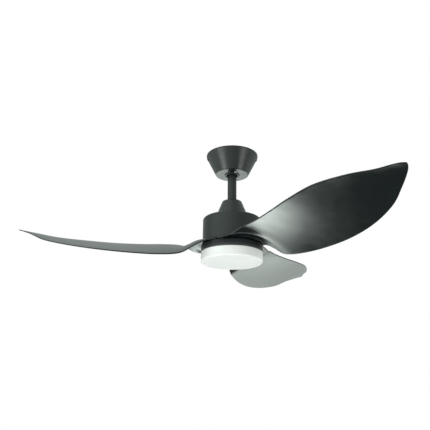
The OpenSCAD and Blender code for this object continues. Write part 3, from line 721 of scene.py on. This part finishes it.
def section(row, thick):
    """Points round one section: the top, the trailing edge, the underside and the leading edge."""
    chord = math.hypot(row[3] - row[0], row[4] - row[1])
    edge = min(EDGE_ROUND, chord / 3, thick / 2.5)
    inset = edge / chord
    rows = []
    for k in range(CHORD_STEPS + 1):
        v = inset + (1 - 2 * inset) * k / CHORD_STEPS
        rows.append((v, thick / 2))
    for k in range(1, EDGE_STEPS + 1):
        angle = math.pi / 2 * k / EDGE_STEPS
        rows.append((1 - inset + inset * math.sin(angle), thick / 2 - edge * (1 - math.cos(angle))))
    rows += [(v, -h) for v, h in reversed(rows)]
    rows += [(1 - v, -h) for v, h in rows[CHORD_STEPS + 1:-CHORD_STEPS - 1]]
    return [row_point(row, v) + Vector((0, 0, h)) for v, h in rows]


def close_end(shape, ring):
    """Closes a bent end with strips from its upper to its lower half, starting at the leading edge."""
    count = len(ring)
    start = count - EDGE_STEPS
    upper = [ring[(start + k) % count] for k in range(count // 2)]
    lower = [ring[(start - 1 - k) % count] for k in range(count // 2)]
    for k in range(count // 2 - 1):
        shape.faces.new((upper[k], upper[k + 1], lower[k + 1], lower[k]))


def blade_mesh(name):
    """One blade along X, its sections joined from the hub to the tip."""
    last = len(ROWS) - 1
    inner = list(ROWS[0])
    for place in (0, 1, 3, 4, 6):
        inner[place] *= ROOT_INNER_R / ROOT_R
    sections = [section(inner, ROOT_THICK)]
    for k in range(last * ROW_STEPS + 1):
        s = k / ROW_STEPS
        sections.append(section(row_at(s), ROOT_THICK + (TIP_THICK - ROOT_THICK) * s / last))
    shape = bmesh.new()
    rings = [[shape.verts.new(point * MM) for point in points] for points in sections]
    count = len(rings[0])
    for ring, following in zip(rings, rings[1:]):
        for k in range(count):
            shape.faces.new((ring[k], following[k], following[(k + 1) % count], ring[(k + 1) % count]))
    close_end(shape, rings[0])
    close_end(shape, rings[-1])
    bmesh.ops.recalc_face_normals(shape, faces=shape.faces)
    mesh = bpy.data.meshes.new(name)
    shape.to_mesh(mesh)
    shape.free()
    return mesh


def make_blades():
    """Three equal blades, each with counterbored holes for its screws."""
    for number, turn in enumerate(BLADE_TURNS, start=1):
        mesh = blade_mesh(f"fan_blade_{number}")
        mesh.transform(Matrix.Translation((0, 0, BLADE_Z)) @ Matrix.Rotation(math.radians(turn), 4, "Z"))
        piece = add_piece(f"fan_blade_{number}", mesh, f"blade_{number}")
        places = ring_places(SCREW_RING * MM, [turn + t for t in SCREW_TURNS], BLADE_Z)
        holes = [(place, (0, 0, 1), BLADE_HOLE_R * MM, 12 * MM) for place in places]
        holes += [((x, y, z - 3 * MM), (0, 0, 1), BLADE_HEAD_R * MM, 6.8 * MM) for x, y, z in places]
        drill(piece, holes)


# ---------- Stage, light and camera ----------

FLOOR_Z = -2.4
FLOOR_HALF = 16
CAMERA_PLACE = (-0.0536, -1.5647, -0.7459)
CAMERA_PITCH = math.radians(19.056)
CAMERA_ROLL = math.radians(0.84)
CAMERA_LENS = 43.82
SENSOR = 36


def make_floor():
    """A plain pale floor far below the fan. It takes no part in the reflections."""
    mesh = bpy.data.meshes.new("floor")
    corners = [(x * FLOOR_HALF, y * FLOOR_HALF, FLOOR_Z) for x, y in ((-1, -1), (1, -1), (1, 1), (-1, 1))]
    mesh.from_pydata(corners, [], [(0, 1, 2, 3)])
    floor = bpy.data.objects.new("floor", mesh)
    bpy.context.scene.collection.objects.link(floor)
    finish = Finish("floor", roughness=0.8)
    finish.colour(finish.noise(3, detail=4), (0.93, 0.85, 0.885), (0.95, 0.87, 0.905))
    mesh.materials.append(finish.material)
    floor.visible_glossy = False
    floor.visible_diffuse = False


# Brightness of the studio by height in degrees: ahead of the camera, behind it, and an extra glow low
# ahead, like that of a long softbox. The spreads are factors by the turn to the right, in degrees.
# All of them were adjusted for the look of the fan.
AHEAD = [
    (-90, 0.10), (-50, 0.12), (-46, 0.3), (-38, 0.5), (-28, 0.9), (-18, 1.05), (-10, 1.02), (-4, 0.85),
    (4, 0.65), (14, 0.45), (30, 0.55), (45, 0.8), (90, 0.9),
]
BEHIND = [(-90, 0.10), (-62, 0.12), (-46, 0.4), (-30, 0.55), (-10, 0.7), (10, 0.75), (40, 0.7), (90, 0.9)]
GLOW = [
    (-90, 0), (-50, 0), (-46, 0.2), (-42, 1.2), (-38, 4.6), (-34, 5.3), (-30, 3.2), (-26, 1.9), (-22, 1.15),
    (-17, 0.45), (-10, 0), (90, 0),
]
GLOW_SPREAD = [
    (-90, 0.1), (-50, 0.15), (-34, 0.2), (-24, 0.42), (-18, 0.85), (-13, 1.45), (-8, 1.9), (-2, 1.1),
    (6, 1.05), (24, 0.95), (50, 0.4), (90, 0.3),
]
BEHIND_SPREAD = [(-90, 1.5), (-28, 1.45), (0, 1.05), (30, 0.75), (90, 0.8)]
TINT = (0.9, 1.0, 0.945)
BRIGHTEST = 10.0


def make_studio():
    """Surroundings lit by height and by turn, and a plain white backdrop for the camera."""
    world = bpy.data.worlds.new("studio")
    bpy.context.scene.world = world
    world.use_nodes = True
    tree = world.node_tree
    tree.nodes.clear()
    coords = tree.nodes.new("ShaderNodeTexCoord")
    axes = tree.nodes.new("ShaderNodeSeparateXYZ")
    tree.links.new(coords.outputs["Generated"], axes.inputs["Vector"])

    def mapped(source, low, high, stops, tint):
        """The brightness at each place between low and high, from a list of stops."""
        spread = tree.nodes.new("ShaderNodeMapRange")
        spread.inputs["From Min"].default_value = low
        spread.inputs["From Max"].default_value = high
        tree.links.new(source, spread.inputs["Value"])
        ramp = tree.nodes.new("ShaderNodeValToRGB")
        elements = ramp.color_ramp.elements
        while len(elements) < len(stops):
            elements.new(0.5)
        for element, (place, light) in zip(elements, stops):
            element.position = (place - low) / (high - low)
            element.color = (*[light / BRIGHTEST * t for t in tint], 1)
        tree.links.new(spread.outputs["Result"], ramp.inputs["Fac"])
        return ramp.outputs["Color"]

    def by_height(stops):
        return mapped(axes.outputs["Z"], -1, 1, [(math.sin(math.radians(h)), v) for h, v in stops], TINT)

    def by_turn(stops, facing):
        """A factor by the direction to the right, for the half of the studio on that side of the object."""
        turn = tree.nodes.new("ShaderNodeMath")
        turn.operation = "ARCTAN2"
        ahead = tree.nodes.new("ShaderNodeMath")
        ahead.operation = "MULTIPLY"
        ahead.inputs[1].default_value = facing
        tree.links.new(axes.outputs["Y"], ahead.inputs[0])
        tree.links.new(axes.outputs["X"], turn.inputs[0])
        tree.links.new(ahead.outputs["Value"], turn.inputs[1])
        limit = math.pi / 2
        places = [(math.radians(t), v) for t, v in stops]
        return mapped(turn.outputs["Value"], -limit, limit, places, (1, 1, 1))

    def blend(kind, first, second, factor=1.0):
        mix = tree.nodes.new("ShaderNodeMix")
        mix.data_type = "RGBA"
        mix.blend_type = kind
        mix.inputs["Factor"].default_value = factor
        tree.links.new(first, mix.inputs[6])
        tree.links.new(second, mix.inputs[7])
        return mix

    def scaled(first, second):
        """One brightness times another, both held as a share of the brightest."""
        scale = tree.nodes.new("ShaderNodeVectorMath")
        scale.operation = "SCALE"
        scale.inputs["Scale"].default_value = BRIGHTEST
        tree.links.new(blend("MULTIPLY", first, second).outputs[2], scale.inputs["Vector"])
        return scale.outputs["Vector"]

    side = tree.nodes.new("ShaderNodeMapRange")
    side.interpolation_type = "SMOOTHSTEP"
    side.inputs["From Min"].default_value = -0.3
    side.inputs["From Max"].default_value = 0.3
    tree.links.new(axes.outputs["Y"], side.inputs["Value"])
    glow = scaled(by_height(GLOW), by_turn(GLOW_SPREAD, 1))
    ahead = blend("ADD", by_height(AHEAD), glow)
    behind = scaled(by_height(BEHIND), by_turn(BEHIND_SPREAD, -1))
    around = blend("MIX", behind, ahead.outputs[2])
    tree.links.new(side.outputs["Result"], around.inputs["Factor"])

    studio = tree.nodes.new("ShaderNodeBackground")
    studio.inputs["Strength"].default_value = BRIGHTEST
    tree.links.new(around.outputs[2], studio.inputs["Color"])
    backdrop = tree.nodes.new("ShaderNodeBackground")
    backdrop.inputs["Color"].default_value = (1, 1, 1, 1)
    rays = tree.nodes.new("ShaderNodeLightPath")
    choose = tree.nodes.new("ShaderNodeMixShader")
    output = tree.nodes.new("ShaderNodeOutputWorld")
    tree.links.new(rays.outputs["Is Camera Ray"], choose.inputs["Fac"])
    tree.links.new(studio.outputs["Background"], choose.inputs[1])
    tree.links.new(backdrop.outputs["Background"], choose.inputs[2])
    tree.links.new(choose.outputs["Shader"], output.inputs["Surface"])
    bpy.context.scene.view_settings.view_transform = "Standard"


def add_panel(name, place, target, size, power, mirrored):
    """A soft panel of light, which glossy surfaces mirror or not."""
    light = bpy.data.lights.new(name, "AREA")
    light.shape = "RECTANGLE"
    light.size, light.size_y = size
    light.energy = power
    panel = bpy.data.objects.new(name, light)
    bpy.context.scene.collection.objects.link(panel)
    panel.location = place
    panel.rotation_euler = (Vector(target) - Vector(place)).to_track_quat("-Z", "Y").to_euler()
    panel.visible_camera = False
    panel.visible_glossy = mirrored


def make_camera():
    """Looks up at the fan from below and in front, rolled slightly."""
    data = bpy.data.cameras.new("camera")
    data.lens = CAMERA_LENS
    data.sensor_width = SENSOR
    camera = bpy.data.objects.new("camera", data)
    bpy.context.scene.collection.objects.link(camera)
    ahead = Vector((0, math.cos(CAMERA_PITCH), math.sin(CAMERA_PITCH)))
    level = Vector((1, 0, 0))
    up = level.cross(ahead)
    right = math.cos(CAMERA_ROLL) * level + math.sin(CAMERA_ROLL) * up
    above = math.cos(CAMERA_ROLL) * up - math.sin(CAMERA_ROLL) * level
    turn = Matrix((right, above, -ahead)).transposed().to_4x4()
    camera.matrix_world = Matrix.Translation(CAMERA_PLACE) @ turn
    bpy.context.scene.camera = camera


make_camera()
make_floor()
make_studio()
add_panel("panel_below", (0, -0.5, -1.9), (0, 0, -0.35), (1.2, 1.2), 9, mirrored=False)
add_panel("panel_front", (0, -2.2, -0.3), (0, 0, -0.3), (1.6, 0.8), 6, mirrored=False)
add_panel("panel_left", (-1.37, -0.93, -1.15), (0, 0, -0.05), (0.85, 1.3), 13.5, mirrored=True)
add_panel("panel_right", (1.28, -0.98, -1.15), (0, 0, -0.05), (0.9, 1.3), 12.5, mirrored=True)
finish_frame()
make_canopy()
make_trim_ring()
make_rod()
make_cover()
make_housing()
make_pan()
make_diffuser()
make_blades()
